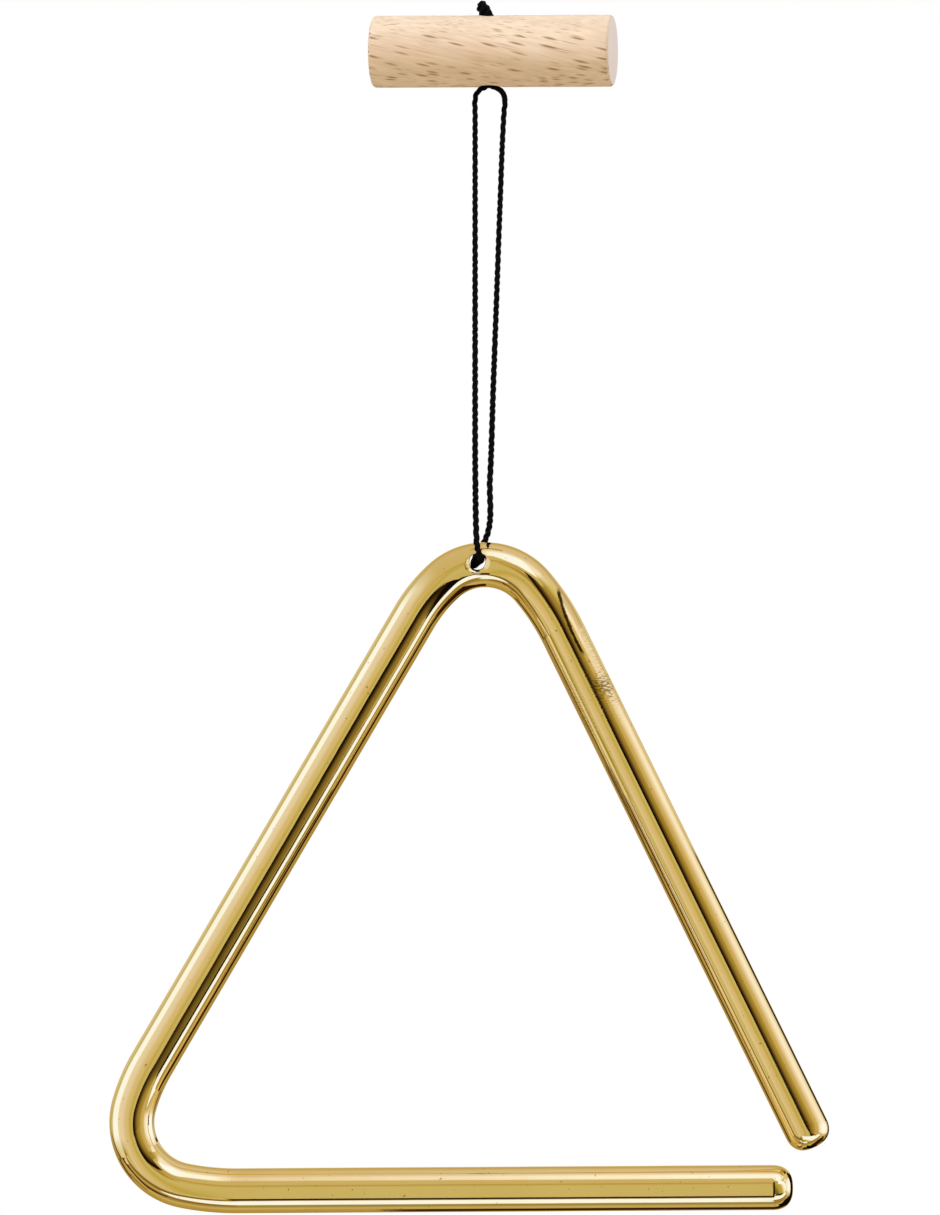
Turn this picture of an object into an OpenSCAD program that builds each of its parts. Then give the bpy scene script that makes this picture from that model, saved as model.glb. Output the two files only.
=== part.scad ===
// Triangle instrument: a bent brass rod that hangs by a black cord from a short wooden handle.
// Millimetres, +Z up. The origin is where the handle's cross bore meets the handle's axis.
// The triangle hangs in the XZ plane and is seen from the -Y side.
// The triangle is open at its lower right corner and drilled through the top bend for the cord.

/* [Triangle rod] */
// Diameter of the brass rod
rod_d = 10; // [7:0.5:12]
// Straight run of the left leg, between its two bends
left_leg = 115.2; // [90:0.1:140]
// Straight run of the bottom bar, from the corner to its domed end
bottom_bar = 119.7; // [100:0.1:128]
// Gap at the open corner, from the right leg's tip to the line of the bottom bar's upper side
open_gap = 4; // [2:0.1:20]
// Height of the dome on each end of the rod
end_dome = 3.7; // [2.8:0.1:4.2]

/* [Bends] */
// Radius of the top bend, on the rod's centreline
top_bend_r = 13.7; // [12:0.1:18]
// Radius of the left corner's bend, on the rod's centreline
corner_bend_r = 14.3; // [12:0.1:20]
// Angle between the legs at the top
top_angle = 56.6; // [52:0.1:62]
// Angle between the left leg and the bottom bar
corner_angle = 59.2; // [56:0.1:63]
// Slope of the right leg below the horizontal
right_leg_slope = 63.85; // [60:0.05:68]

/* [Cord hole in the rod] */
// Diameter of the hole
hole_d = 3.6; // [2.6:0.1:4.4]
// Diameter of the countersink at each mouth of the hole
sink_d = 5.2; // [4.6:0.1:6.4]
// How far the hole was drilled outside the rod's centreline
hole_offset = 0.8; // [0:0.1:1]
// Slope of the rod where it is drilled
hole_slope = 7; // [0:0.5:12]
// Depth of the hole below the handle's axis
hole_drop = 113.4; // [100:0.1:130]
// Distance of the hole to the left of the handle's bore
hole_side = 2.8; // [0:0.1:4]

/* [Handle] */
// Diameter of the dowel
handle_d = 16; // [14:0.5:22]
// Length of the dowel
handle_len = 54; // [40:1:90]
// How far the dowel's middle lies to the right of its bore
handle_shift = 0.7; // [0:0.1:4]
// Turn of the handle about the bore, its right end towards the viewer
handle_yaw = 9; // [0:1:30]
// Rounding of the dowel's end edges
handle_round = 1.2; // [0.4:0.1:3]
// Diameter of the bore that takes both strands of the cord
bore_d = 4.2; // [4.1:0.1:5]
// Diameter of the eased mouth under the handle
mouth_d = 5.8; // [5.6:0.1:7]

/* [Cord] */
// Diameter of the cord
cord_d = 1.3; // [0.8:0.1:1.3]
// Diameter of the stopper knot
knot_d = 5.6; // [5.2:0.1:6.4]
// Height of the stopper knot
knot_h = 4.4; // [3:0.1:4.6]
// Gap all round the knot in its recess
knot_clearance = 0.4; // [0.2:0.1:0.8]
// Depth from the handle's crown to the floor of the knot's recess
knot_recess = 5.2; // [5:0.1:6]

/* [Hidden] */
$fn = 96;

// Overrun of every cut past the face that it opens
cut_over = 1;

rod_r = rod_d / 2;
handle_r = handle_d / 2;

// The bends ease in and out of their round middles, each over a turn of its own at a wider radius
top_right_ease_r = 51;
top_right_ease_turn = 14.25;
top_left_ease_r = 34;
top_left_ease_turn = 17.35;
corner_upper_ease_r = 40;
corner_upper_ease_turn = 14.3;
corner_lower_ease_r = 59;
corner_lower_ease_turn = 11.8;
// Bending draws the rod in by a hair where it eases, and by twice as much in the round middles
ease_draw = 0.02;
bend_draw = 2 * ease_draw;
// Each bend runs on this far into its thicker neighbours, so that the runs join as one solid
bend_lap = 0.2;

// Rounding of the shoulder of each domed end
dome_shoulder = 0.81 * end_dome;
// Radius of the flatter middle of the dome, which meets the shoulder smoothly at dome_join
dome_crown = ((rod_r - dome_shoulder)^2 - dome_shoulder^2 + end_dome^2) / (2 * (end_dome - dome_shoulder));
dome_join = (rod_r - dome_shoulder) * dome_crown / (dome_crown - dome_shoulder);

// The countersinks and the handle's mouth are cut at 45 degrees
sink_depth = (sink_d - hole_d) / 2;
mouth_depth = (mouth_d - bore_d) / 2;

// The knot rests on the floor of its recess
knot_recess_d = knot_d + 2 * knot_clearance;
knot_floor = handle_r - knot_recess;
knot_seat_gap = 0.1;
knot_bottom = knot_floor + knot_seat_gap;
knot_round = 1.3;
knot_top = knot_bottom + knot_h;
// The two cut ends that stand out of the knot, in shares of the cord's diameter:
// [distance of the root to the left of the bore, lean to the left, rise above the knot]
long_tail_shares = [0.9, 1.15, 2.25];
short_tail_shares = [-0.1, 1, 1.8];
// A tail leans out by this share of its lean on the first half of its rise
tail_bend_share = 0.25;

// Turns of the rod, followed from its drilled point
top_core_right = right_leg_slope + hole_slope - top_right_ease_turn;
top_core_left = 180 - top_angle - right_leg_slope - hole_slope - top_left_ease_turn;
corner_core = 180 - corner_angle - corner_upper_ease_turn - corner_lower_ease_turn;

// A pose is a point of the rod's centreline and its heading: [x, z, degrees].
// A run is a bend, [radius, turn, draw], or a straight, [length, 0]. A turn to the left is positive.
function after_straight(pose, length) =
    [pose[0] + length * cos(pose[2]), pose[1] + length * sin(pose[2]), pose[2]];
function after_bend(pose, radius, turn) =
    let (r = sign(turn) * radius, out = pose[2] + turn)
    [pose[0] + r * (sin(out) - sin(pose[2])), pose[1] - r * (cos(out) - cos(pose[2])), out];
function after_run(pose, run) =
    run[1] == 0 ? after_straight(pose, run[0]) : after_bend(pose, run[0], run[1]);
function pose_after(start, runs, count) =
    count == 0 ? start : after_run(pose_after(start, runs, count - 1), runs[count - 1]);
function turned_back(pose) = [pose[0], pose[1], pose[2] + 180];

// The drilled point of the centreline lies hole_offset inside the hole's own axis
drilled_point = [
    -hole_side + hole_offset * sin(hole_slope),
    -hole_drop - hole_offset * cos(hole_slope),
    hole_slope
];
top_bend_start = after_bend(drilled_point, top_bend_r, -top_core_right);

left_start = turned_back(top_bend_start);
left_runs = [
    [top_bend_r, top_core_right + top_core_left, bend_draw],
    [top_left_ease_r, top_left_ease_turn, ease_draw],
    [left_leg, 0],
    [corner_upper_ease_r, corner_upper_ease_turn, ease_draw],
    [corner_bend_r, corner_core, bend_draw],
    [corner_lower_ease_r, corner_lower_ease_turn, ease_draw],
    [bottom_bar, 0]
];
bar_end = pose_after(left_start, left_runs, len(left_runs));

// The right leg runs down until its dome stands open_gap clear of the bottom bar's upper side
leg_start = after_bend(top_bend_start, top_right_ease_r, -top_right_ease_turn);
leg_height = (leg_start[1] - bar_end[1]) * cos(bar_end[2]) - (leg_start[0] - bar_end[0]) * sin(bar_end[2]);
right_leg = (leg_height - rod_r - open_gap) / sin(bar_end[2] - leg_start[2]) - end_dome;
right_runs = [
    [top_right_ease_r, -top_right_ease_turn, ease_draw],
    [right_leg, 0]
];

// The cord's route from the knot down the front and back up behind the rod, as [x, y, z].
// The strands cross under the bore, spread into an arch and pass through the rod's hole.
cord_route = [
    [1.15, -0.7, 2.9], [1.15, -0.7, -3.95], [1.15, -0.7, -5.18],
    [0.87, -0.7, -6.42], [0.08, -0.7, -7.42], [-1.07, -0.7, -7.99],
    [-2.23, -0.7, -8.56], [-3.02, -0.7, -9.56], [-3.3, -0.7, -10.81],
    [-3.3, -0.85, -13.5], [-3.3, -2, -35], [-3.3, -3.2, -55], [-3.3, -4.3, -75], [-3.25, -5.4, -95],
    [-3.05, -6.2, -107], [-2.95, -6.25, -109.3], [-2.65, -5.75, -111.1], [-2.2, -4.5, -112.45],
    [-2.1, -2.7, -112.95], [-2.5, -0.7, -113.25], [-3.15, 1.3, -113.75], [-3.45, 3.1, -114.05],
    [-3.45, 4.7, -113.6], [-3, 5.75, -112.2], [-2, 6.3, -110.4], [-0.95, 6.3, -108.3],
    [0, 5.4, -95], [0.72, 4.3, -75], [1.46, 3.2, -55], [2.2, 2, -35], [3.12, 0.85, -13.5],
    [3.3, 0.7, -10.81], [3.02, 0.7, -9.56], [2.23, 0.7, -8.56],
    [1.07, 0.7, -7.99], [-0.08, 0.7, -7.42], [-0.87, 0.7, -6.42],
    [-1.15, 0.7, -5.18], [-1.15, 0.7, -3.95], [-1.15, 0.7, 2.9]
];
// Places in the route where one stretch of the cord hands over to the next
bore_last = 2;
arch_last = 9;
route_last = len(cord_route) - 1;
// Spacing of the rings that the cord is swept through
cord_pitch = 4.2;
cord_sides = 8;

function unit(v) = v / norm(v);

// Direction of the cord at a point of its route, weighted towards the nearer neighbour
function heading(i) =
    let (p = cord_route, from = max(i - 1, 0), to = min(i + 1, route_last))
    let (before = norm(p[i] - p[from]), after = norm(p[to] - p[i]))
    i == 0 ? unit(p[to] - p[i])
    : i == route_last ? unit(p[i] - p[from])
    : unit((p[i] - p[from]) * after / before + (p[to] - p[i]) * before / after);

// Point and direction of the cord a share t of the way from point i to the next, as [point, direction]
function cord_ring(i, t) =
    let (a = cord_route[i], b = cord_route[i + 1], gap = norm(b - a))
    let (u = heading(i) * gap, v = heading(i + 1) * gap)
    [
        (2*t^3 - 3*t^2 + 1) * a + (t^3 - 2*t^2 + t) * u + (3*t^2 - 2*t^3) * b + (t^3 - t^2) * v,
        unit((6*t^2 - 6*t) * (a - b) + (3*t^2 - 4*t + 1) * u + (3*t^2 - 2*t) * v)
    ];

function cord_rings(first, last) = [
    for (i = [first : last - 1])
        let (steps = ceil(norm(cord_route[i + 1] - cord_route[i]) / cord_pitch))
        for (j = [0 : steps - (i == last - 1 ? 0 : 1)]) cord_ring(i, j / steps)
];

// A direction across the cord, carried along from ring to ring so that the tube doesn't twist
function carried(side, along) = unit(side - along * (side * along));

// A tube of the cord's diameter swept through rings of [point, direction]
module swept_cord(rings) {
    sides = [
        for (k = 0, side = carried([1, 0.2, 0], rings[0][1]);
             k < len(rings);
             k = k + 1, side = carried(side, rings[min(k, len(rings) - 1)][1]))
            side
    ];
    points = [
        for (k = [0 : len(rings) - 1])
            for (j = [0 : cord_sides - 1])
                let (turn = 360 * j / cord_sides, across = cross(rings[k][1], sides[k]))
                rings[k][0] + cord_d / 2 * (cos(turn) * sides[k] + sin(turn) * across)
    ];
    walls = [
        for (k = [0 : len(rings) - 2])
            for (j = [0 : cord_sides - 1])
                let (a = k * cord_sides + j, b = k * cord_sides + (j + 1) % cord_sides)
                for (face = [[a, a + cord_sides, b], [b, a + cord_sides, b + cord_sides]]) face
    ];
    first_end = [for (j = [0 : cord_sides - 1]) j];
    last_end = [for (j = [cord_sides - 1 : -1 : 0]) (len(rings) - 1) * cord_sides + j];
    polyhedron(points, concat(walls, [first_end, last_end]));
}

// Moves its children to a pose of the rod, with +X along the heading and +Z to its left
module at_pose(pose) {
    translate([pose[0], 0, pose[1]]) rotate([0, -pose[2], 0]) children();
}

module straight_run(length) {
    rotate([0, 90, 0]) cylinder(d = rod_d, h = length);
}

// A bend of the rod, run on by bend_lap at each end into its thicker neighbours
module bend_run(radius, turn, draw) {
    lap = bend_lap / radius * 180 / PI;
    swept = abs(turn) + 2 * lap;
    mirror([0, 0, turn > 0 ? 0 : 1])
        translate([0, 0, radius])
            rotate([90, 0, 0])
                rotate_extrude(angle = swept, start = -90 - lap)
                    translate([radius, 0]) circle(d = rod_d - draw);
}

// The rod's domed end: a flatter crown that runs into a rounded shoulder
module domed_end() {
    rotate([0, 90, 0])
        rotate_extrude()
            intersection() {
                union() {
                    translate([rod_r - dome_shoulder, 0]) circle(r = dome_shoulder);
                    intersection() {
                        translate([0, end_dome - dome_crown]) circle(r = dome_crown);
                        square([dome_join, end_dome]);
                    }
                    square([rod_r - dome_shoulder, dome_shoulder / 2]);
                }
                square([rod_r, end_dome]);
            }
}

// Lays the runs one after another, each in the frame where the last one ended, and then the dome
module rod_runs(runs, i = 0) {
    if (i == len(runs)) {
        domed_end();
    } else if (runs[i][1] == 0) {
        straight_run(runs[i][0]);
        translate([runs[i][0], 0, 0]) rod_runs(runs, i + 1);
    } else {
        side = sign(runs[i][1]) * runs[i][0];
        bend_run(runs[i][0], runs[i][1], runs[i][2]);
        translate([0, 0, side])
            rotate([0, -runs[i][1], 0])
                translate([0, 0, -side])
                    rod_runs(runs, i + 1);
    }
}

// The cord's hole, through the rod from front to back, countersunk at both mouths
module rod_hole() {
    translate([-hole_side, 0, -hole_drop]) {
        rotate([90, 0, 0]) cylinder(d = hole_d, h = rod_d + 2 * cut_over, center = true);
        for (way = [-90, 90])
            rotate([way, 0, 0])
                translate([0, 0, rod_r - sink_depth])
                    cylinder(d1 = hole_d, d2 = sink_d + 2 * cut_over, h = sink_depth + cut_over);
    }
}

module triangle_rod() {
    color("goldenrod")
        difference() {
            union() {
                at_pose(left_start) rod_runs(left_runs);
                at_pose(top_bend_start) rod_runs(right_runs);
            }
            rod_hole();
        }
}

// Half of the dowel's lengthwise section, with its end edges rounded
module dowel_section() {
    square([handle_r - handle_round, handle_len]);
    translate([0, handle_round]) square([handle_r, handle_len - 2 * handle_round]);
    for (y = [handle_round, handle_len - handle_round])
        translate([handle_r - handle_round, y]) circle(r = handle_round);
}

module wood_handle() {
    color("burlywood")
        difference() {
            rotate([0, 0, -handle_yaw])
                translate([handle_shift - handle_len / 2, 0, 0])
                    rotate([0, 90, 0])
                        rotate_extrude() dowel_section();
            cylinder(d = bore_d, h = handle_d + 2 * cut_over, center = true);
            translate([0, 0, knot_floor]) cylinder(d = knot_recess_d, h = knot_recess + cut_over);
            translate([0, 0, -handle_r - cut_over])
                cylinder(d1 = mouth_d + 2 * cut_over, d2 = bore_d, h = mouth_depth + cut_over);
        }
}

// The round body of the knot
module knot_body() {
    translate([0, 0, knot_bottom])
        rotate_extrude()
            union() {
                square([knot_d / 2 - knot_round, knot_h]);
                translate([0, knot_round]) square([knot_d / 2, knot_h - 2 * knot_round]);
                for (y = [knot_round, knot_h - knot_round])
                    translate([knot_d / 2 - knot_round, y]) circle(r = knot_round);
            }
}

// A cut end of the cord, from inside the knot's top over its bend to its rounded tip
module cord_tail(shares) {
    root = -shares[0] * cord_d;
    lean = shares[1] * cord_d;
    rise = shares[2] * cord_d;
    stops = [
        [root, 0, knot_top - cord_d],
        [root - lean * tail_bend_share, 0, knot_top + rise / 2],
        [root - lean, 0, knot_top + rise]
    ];
    for (i = [1 : len(stops) - 1])
        hull()
            for (stop = [stops[i - 1], stops[i]])
                translate(stop) sphere(d = cord_d, $fn = 16);
}

module cord_knot() {
    color("black") {
        knot_body();
        cord_tail(long_tail_shares);
        cord_tail(short_tail_shares);
    }
}

// The two strands of the cord inside the handle's bore, from the knot to the crossing
module cord_in_handle() {
    color("black") {
        swept_cord(cord_rings(0, bore_last));
        swept_cord(cord_rings(route_last - bore_last, route_last));
    }
}

// The strands cross and spread under the handle, where the cord bends when the triangle swings
module cord_arch() {
    color("black") {
        swept_cord(cord_rings(bore_last, arch_last));
        swept_cord(cord_rings(route_last - arch_last, route_last - bore_last));
    }
}

// The free loop, down the front, through the rod's hole and up behind it
module cord_loop() {
    color("black") swept_cord(cord_rings(arch_last, route_last - arch_last));
}

triangle_rod();
wood_handle();
cord_knot();
cord_in_handle();
cord_arch();
cord_loop();
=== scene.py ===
# %% [markdown]
# # A triangle instrument, dressed for the camera
# The real object is one bent brass rod that hangs by a twisted black cord from a short wooden
# dowel. The CAD model already has every size and every joint right. This lesson puts the looks
# on it: polished brass, dry pale wood and a cord whose strands can be counted. Everything is in
# metres, in the CAD model's own frame, so nothing has to be moved into place afterwards.

import math

import bmesh
import bpy
import numpy as np
from mathutils import Matrix, Vector


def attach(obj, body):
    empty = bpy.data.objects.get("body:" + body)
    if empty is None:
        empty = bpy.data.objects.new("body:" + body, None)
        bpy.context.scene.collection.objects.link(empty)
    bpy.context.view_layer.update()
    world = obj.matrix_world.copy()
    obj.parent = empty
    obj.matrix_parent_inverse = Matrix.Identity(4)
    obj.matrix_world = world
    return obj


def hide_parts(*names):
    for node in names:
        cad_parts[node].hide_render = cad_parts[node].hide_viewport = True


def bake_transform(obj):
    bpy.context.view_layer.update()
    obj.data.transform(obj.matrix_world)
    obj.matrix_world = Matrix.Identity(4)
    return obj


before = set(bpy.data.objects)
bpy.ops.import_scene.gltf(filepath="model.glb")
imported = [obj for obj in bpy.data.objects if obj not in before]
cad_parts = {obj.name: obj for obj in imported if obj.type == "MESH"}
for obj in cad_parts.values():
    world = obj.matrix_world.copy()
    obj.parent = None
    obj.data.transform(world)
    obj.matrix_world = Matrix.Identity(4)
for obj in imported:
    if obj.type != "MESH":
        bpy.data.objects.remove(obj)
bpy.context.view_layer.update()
MM = 0.001
print("nodes:", sorted(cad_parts))

# %% [markdown]
# ## The camera
# The photograph is almost flat: the lens was long and looked straight at the instrument from far
# off. From 4 m away a lens of 533 mm on a 36 mm sensor shows 270 mm of height. The frame is
# taller than it is wide, so the sensor's 36 mm lie along the height.

# %% Place the camera
VIEW_DISTANCE = 4.0
VIEW_HEIGHT = 270 * MM
VIEW_CENTRE = Vector((-4.44 * MM, 0, -123.6 * MM))
SENSOR = 36.0

camera_data = bpy.data.cameras.new("camera")
camera_data.sensor_width = SENSOR
camera_data.lens = SENSOR * VIEW_DISTANCE / VIEW_HEIGHT
camera_data.clip_end = 50
camera = bpy.data.objects.new("camera", camera_data)
camera.location = VIEW_CENTRE + Vector((0, -VIEW_DISTANCE, 0))
camera.rotation_euler = (math.radians(90), 0, 0)
bpy.context.scene.collection.objects.link(camera)
bpy.context.scene.camera = camera
print("lens", round(camera_data.lens, 1), "mm")

# %% [markdown]
# ## The cord's route
# The cord is one piece, and limp, so its shape is its route: out of the knot in the handle, over
# into an arch under the bore, down the front, through the rod's hole and back up behind. The
# route's points are the CAD model's, in millimetres. Between them the line follows the same
# smooth rule as the CAD model, so that the dressed cord lies exactly where the solid does.

# %% Draw the cord's centreline
CORD_D = 1.3 * MM
CORD_ROUTE = np.array([
    [1.15, -0.7, 2.9], [1.15, -0.7, -3.95], [1.15, -0.7, -5.18],
    [0.87, -0.7, -6.42], [0.08, -0.7, -7.42], [-1.07, -0.7, -7.99],
    [-2.23, -0.7, -8.56], [-3.02, -0.7, -9.56], [-3.3, -0.7, -10.81],
    [-3.3, -0.85, -13.5], [-3.3, -2, -35], [-3.3, -3.2, -55], [-3.3, -4.3, -75], [-3.25, -5.4, -95],
    [-3.05, -6.2, -107], [-2.95, -6.25, -109.3], [-2.65, -5.75, -111.1], [-2.2, -4.5, -112.45],
    [-2.1, -2.7, -112.95], [-2.5, -0.7, -113.25], [-3.15, 1.3, -113.75], [-3.45, 3.1, -114.05],
    [-3.45, 4.7, -113.6], [-3, 5.75, -112.2], [-2, 6.3, -110.4], [-0.95, 6.3, -108.3],
    [0, 5.4, -95], [0.72, 4.3, -75], [1.46, 3.2, -55], [2.2, 2, -35], [3.12, 0.85, -13.5],
    [3.3, 0.7, -10.81], [3.02, 0.7, -9.56], [2.23, 0.7, -8.56],
    [1.07, 0.7, -7.99], [-0.08, 0.7, -7.42], [-0.87, 0.7, -6.42],
    [-1.15, 0.7, -5.18], [-1.15, 0.7, -3.95], [-1.15, 0.7, 2.9],
])


def headings(points):
    """The direction at each point, weighted towards the nearer neighbour."""
    chords = np.diff(points, axis=0)
    spans = np.linalg.norm(chords, axis=1)[:, None]
    middle = chords[:-1] * spans[1:] / spans[:-1] + chords[1:] * spans[:-1] / spans[1:]
    ways = np.vstack([chords[:1], middle, chords[-1:]])
    return ways / np.linalg.norm(ways, axis=1)[:, None]


def smooth_line(points, step):
    """Points no further apart than the step, on the smooth curve through the given ones."""
    ways = headings(points)
    line = [points[:1]]
    for a, b, u, v in zip(points[:-1], points[1:], ways[:-1], ways[1:]):
        gap = np.linalg.norm(b - a)
        count = max(1, math.ceil(gap / step))
        t = np.linspace(0, 1, count + 1)[1:, None]
        line.append(
            (2 * t**3 - 3 * t**2 + 1) * a + (t**3 - 2 * t**2 + t) * u * gap
            + (3 * t**2 - 2 * t**3) * b + (t**3 - t**2) * v * gap
        )
    return np.vstack(line)


def length_of(line):
    return float(np.linalg.norm(np.diff(line, axis=0), axis=1).sum())


CORD_STEP = 0.18
cord_line = smooth_line(CORD_ROUTE, CORD_STEP) * MM

# %% [markdown]
# ## Small helpers for node graphs
# A finish is a graph of nodes, and so is a Geometry Nodes tree. Written out node by node, a graph
# is hard to read. So add_node adds one and fills its sockets, where a value may be a number or
# another node's output, and small functions stand for the few nodes that come back again and
# again. A finish then reads like a list of steps.


# %% Define the node helpers
def add_node(tree, kind, sockets=None, **settings):
    """Add a node, set its properties and fill its inputs with values or links."""
    node = tree.nodes.new(kind)
    for name, value in settings.items():
        setattr(node, name, value)
    for key, value in (sockets or {}).items():
        socket = node.inputs[key]
        if isinstance(value, bpy.types.NodeSocket):
            tree.links.new(value, socket)
        else:
            socket.default_value = value
    return node


def result(tree, kind, sockets=None, **settings):
    """The first output of a new node."""
    return add_node(tree, kind, sockets, **settings).outputs[0]


def maths(tree, operation, *values):
    return result(tree, "ShaderNodeMath", dict(enumerate(values)), operation=operation)


def noise(tree, scale, detail, **sockets):
    """The grey value of a Noise Texture. It follows the position if no Vector is given."""
    return add_node(tree, "ShaderNodeTexNoise", {"Scale": scale, "Detail": detail, **sockets}).outputs["Fac"]


def ramp(tree, stops, factor):
    """The colour of a Color Ramp with the given stops of (position, colour)."""
    node = add_node(tree, "ShaderNodeValToRGB", {"Fac": factor})
    elements = node.color_ramp.elements
    while len(elements) < len(stops):
        elements.new(0.5)
    for element, (position, colour) in zip(elements, stops):
        element.position = position
        element.color = (*colour, 1)
    return node.outputs["Color"]


print("node helpers ready")


# %% Define the finish helpers
def new_finish(name, values):
    """A material with values set on its Principled BSDF, its tree and that shader's inputs."""
    finish = bpy.data.materials.new(name)
    finish.use_nodes = True
    inputs = finish.node_tree.nodes["Principled BSDF"].inputs
    for label, value in values.items():
        inputs[label].default_value = value
    return finish, finish.node_tree, inputs


def object_place(tree):
    return add_node(tree, "ShaderNodeTexCoord").outputs["Object"]


def bump(tree, height, strength, distance, **sockets):
    """A normal that bends as if the surface rose and fell by height times distance."""
    sockets = {"Height": height, "Strength": strength, "Distance": distance, **sockets}
    return result(tree, "ShaderNodeBump", sockets)


print("finish helpers ready")

# %% [markdown]
# ## The cord's finish
# It is a matt black twine of polyester, so dark that only its outline and a soft sheen tell it
# from a wire. The twist itself is real geometry, made below. The finish adds what is finer than
# that: each strand is a bundle of thin threads that run round it on a slant. The slant follows
# the cord, so the pattern is drawn from what the geometry stores on the mesh: the way round the
# strand and the run along it.

# %% Make the cord's finish
CORD_BLACK = (0.0018, 0.0018, 0.002)
CORD_BLACKEST = (0.001, 0.001, 0.001)
THREAD_SPACING = 0.9 * MM
THREADS_ROUND = 5


def make_cord_finish():
    finish, tree, inputs = new_finish("black_twine", {
        "Roughness": 0.75, "Specular IOR Level": 0.1, "Sheen Weight": 0.015, "Sheen Roughness": 0.4,
    })
    lay = add_node(tree, "ShaderNodeAttribute", attribute_name="strand_lay").outputs["Vector"]
    parts = add_node(tree, "ShaderNodeSeparateXYZ", {0: lay}).outputs
    threads = maths(tree, "MULTIPLY", maths(tree, "ARCTAN2", parts["Y"], parts["X"]), THREADS_ROUND)
    along = maths(tree, "MULTIPLY", parts["Z"], math.tau / THREAD_SPACING)
    wave = maths(tree, "SINE", maths(tree, "ADD", threads, along))
    fuzz = noise(tree, 9000, 2, Vector=object_place(tree))
    height = maths(tree, "MULTIPLY_ADD", wave, 0.3, fuzz)
    tree.links.new(bump(tree, height, 0.6, 0.06 * MM), inputs["Normal"])
    tree.links.new(ramp(tree, [(0.3, CORD_BLACKEST), (0.75, CORD_BLACK)], fuzz), inputs["Base Color"])
    return finish


cord_finish = make_cord_finish()
print("made", cord_finish.name)

# %% [markdown]
# ## What the geometry trees share
# The cord, its knot and the rod are made alike: a cross-section is swept along a line, and the
# surface is left slightly uneven. So their trees share the helpers below. Each tree has named
# inputs for its sizes, and ends by making its instances real, because the export drops them.
# run_tree runs a finished tree on an object and keeps only the plain mesh that it makes.


# %% Define the tree helpers
def new_tree(name, inputs):
    """A Geometry Nodes tree with named inputs, given as {name: (socket type, default)}."""
    tree = bpy.data.node_groups.new(name, "GeometryNodeTree")
    tree.interface.new_socket("Geometry", in_out="INPUT", socket_type="NodeSocketGeometry")
    tree.interface.new_socket("Geometry", in_out="OUTPUT", socket_type="NodeSocketGeometry")
    for label, (kind, default) in inputs.items():
        socket = tree.interface.new_socket(label, in_out="INPUT", socket_type=kind)
        if default is not None:
            socket.default_value = default
    return tree, add_node(tree, "NodeGroupInput").outputs


def sweep(tree, curve, section):
    """Sweep a cross-section along a curve, as large as the curve's radius says."""
    size = result(tree, "GeometryNodeInputRadius")
    sockets = {"Curve": curve, "Profile Curve": section, "Scale": size, "Fill Caps": True}
    return result(tree, "GeometryNodeCurveToMesh", sockets)


def make_uneven(tree, geometry, rough, amount):
    """Push a surface in and out by a noise, as far as the amount."""
    swell = maths(tree, "MULTIPLY", maths(tree, "SUBTRACT", rough, 0.5), amount)
    outward = result(tree, "GeometryNodeInputNormal")
    push = result(tree, "ShaderNodeVectorMath", {0: outward, "Scale": swell}, operation="SCALE")
    return result(tree, "GeometryNodeSetPosition", {"Geometry": geometry, "Offset": push})


def close_tree(tree, geometry, material):
    """End a tree the way the export needs: realised, shaded smooth and with its material."""
    smooth = result(tree, "GeometryNodeSetShadeSmooth", {"Geometry": geometry})
    real = result(tree, "GeometryNodeRealizeInstances", {"Geometry": smooth})
    dressed = result(tree, "GeometryNodeSetMaterial", {"Geometry": real, "Material": material})
    add_node(tree, "NodeGroupOutput", {"Geometry": dressed})


print("tree helpers ready")


# %% Define how a tree runs
def add_object(name, data):
    """Put new data into the scene as an object."""
    thing = bpy.data.objects.new(name, data)
    bpy.context.scene.collection.objects.link(thing)
    return thing


def line_object(name, lines):
    """A curve object of straight-run splines, each given as (points, radii, closed)."""
    curve = bpy.data.curves.new(name, "CURVE")
    curve.dimensions = "3D"
    for points, radii, closed in lines:
        spline = curve.splines.new("POLY")
        spline.points.add(len(points) - 1)
        spline.points.foreach_set("co", np.c_[points, np.ones(len(points))].ravel())
        spline.points.foreach_set("radius", np.asarray(radii, float))
        spline.use_cyclic_u = closed
    return add_object(name, curve)


def run_tree(name, source, tree, values):
    """Run the tree on an object and return its result as a new plain mesh object."""
    modifier = source.modifiers.new(tree.name, "NODES")
    modifier.node_group = tree
    for item in tree.interface.items_tree:
        if item.item_type == "SOCKET" and item.in_out == "INPUT" and item.name in values:
            modifier[item.identifier] = values[item.name]
    bpy.context.view_layer.update()
    evaluated = source.evaluated_get(bpy.context.evaluated_depsgraph_get())
    mesh = bpy.data.meshes.new_from_object(evaluated)
    mesh.name = name
    if not mesh.materials:
        mesh.materials.append(values["Material"])
    source.modifiers.remove(modifier)
    return add_object(name, mesh)


def drop(thing):
    """Delete a helper object that has done its work."""
    bpy.data.objects.remove(thing, do_unlink=True)


print("ready to run trees")

# %% [markdown]
# ## The twisted cord
# A twisted cord is three round strands that lie side by side and turn together. Geometry Nodes
# make that from a line: the line is given a steady twist, and a cross-section of three circles
# is swept along it, so each circle draws one strand. The same tree serves the long cord and,
# below, the knot. Its inputs are the sizes that a rope maker names. The cord is fuller low
# down, and fullest where the rod presses it. Round the arch, which is smooth in the photograph,
# a second pass of strands fills the grooves of the first.

# %% Build the tree that twists a cord
STRANDS = 3
STRAND_SIDES = 10
LAY_LENGTH = 5.1 * MM
STRAND_RADIUS = 0.325 * MM
STRAND_OFFSET = CORD_D / 2 - STRAND_RADIUS


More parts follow.
